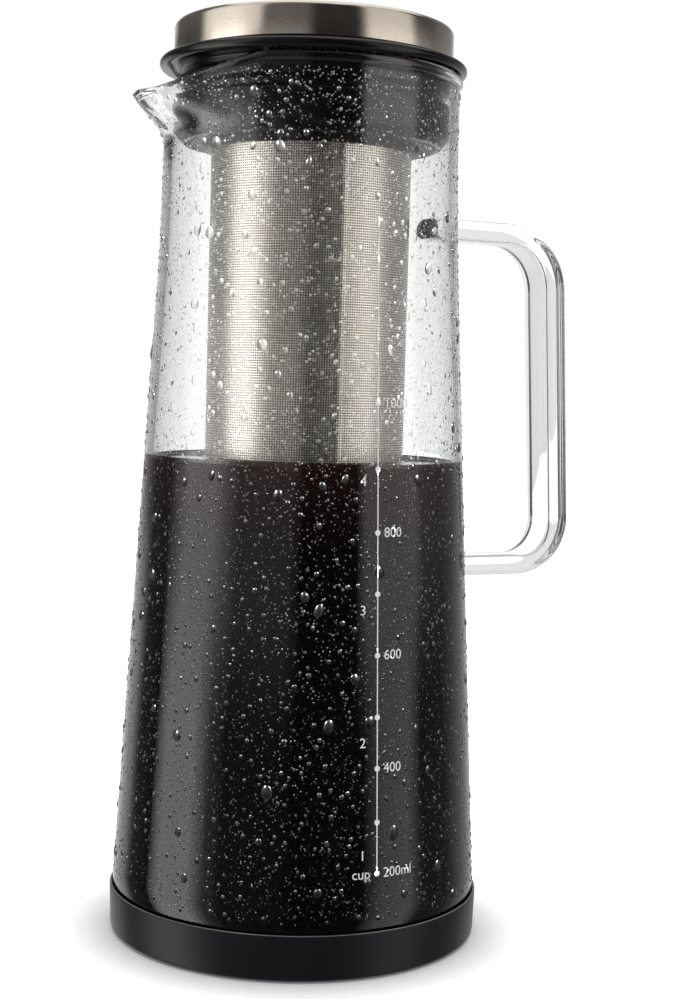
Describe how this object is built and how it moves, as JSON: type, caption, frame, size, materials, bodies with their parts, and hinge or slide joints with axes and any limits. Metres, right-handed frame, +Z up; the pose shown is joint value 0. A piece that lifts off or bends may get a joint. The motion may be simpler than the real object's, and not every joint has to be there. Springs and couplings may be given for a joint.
{
  "type": "cold brew coffee maker",
  "caption": "Tapered glass carafe with spout, strap handle and soft boot, a neck stopper, a hanging mesh filter and a steel-capped lid.",
  "frame": {"origin": "centre of the boot's flat underside, on the carafe's axis", "axes": "+Z up along the carafe's axis, +X towards the handle, -X towards the spout"},
  "size_m": [0.1435, 0.1056, 0.2555],
  "materials": {
    "clear_glass": "clear, fire polished",
    "handle_glass": "clear, fire polished",
    "soft_boot": "satin dark grey",
    "black_silicone": "satin black",
    "black_moulding": "satin black",
    "steel_screen": "fine perforated sheet",
    "pressed_steel": "satin",
    "brushed_cap": "fine brushing round the side"
  },
  "bodies": {
    "carafe": {"carafe_glass": "clear_glass", "carafe_handle": "handle_glass", "base_boot": "soft_boot"},
    "stopper": {"stopper_sleeve": "black_silicone", "stopper_core": "black_moulding"},
    "filter": {"filter_collar": "black_moulding", "filter_screen": "steel_screen", "filter_cup": "pressed_steel", "filter_washer": "black_silicone"},
    "lid": {"lid_cap": "brushed_cap", "lid_plug": "black_moulding", "lid_ring": "black_silicone"}
  },
  "joints": [
    {"name": "stopper_lift", "type": "slide", "parent": "carafe", "child": "stopper", "axis": [0, 0, 1], "range_m": [0, 0.225]},
    {"name": "filter_lift", "type": "slide", "parent": "stopper", "child": "filter", "axis": [0, 0, 1], "range_m": [0, 0.228]},
    {"name": "lid_lift", "type": "slide", "parent": "filter", "child": "lid", "axis": [0, 0, 1], "range_m": [0, 0.03]}
  ]
}
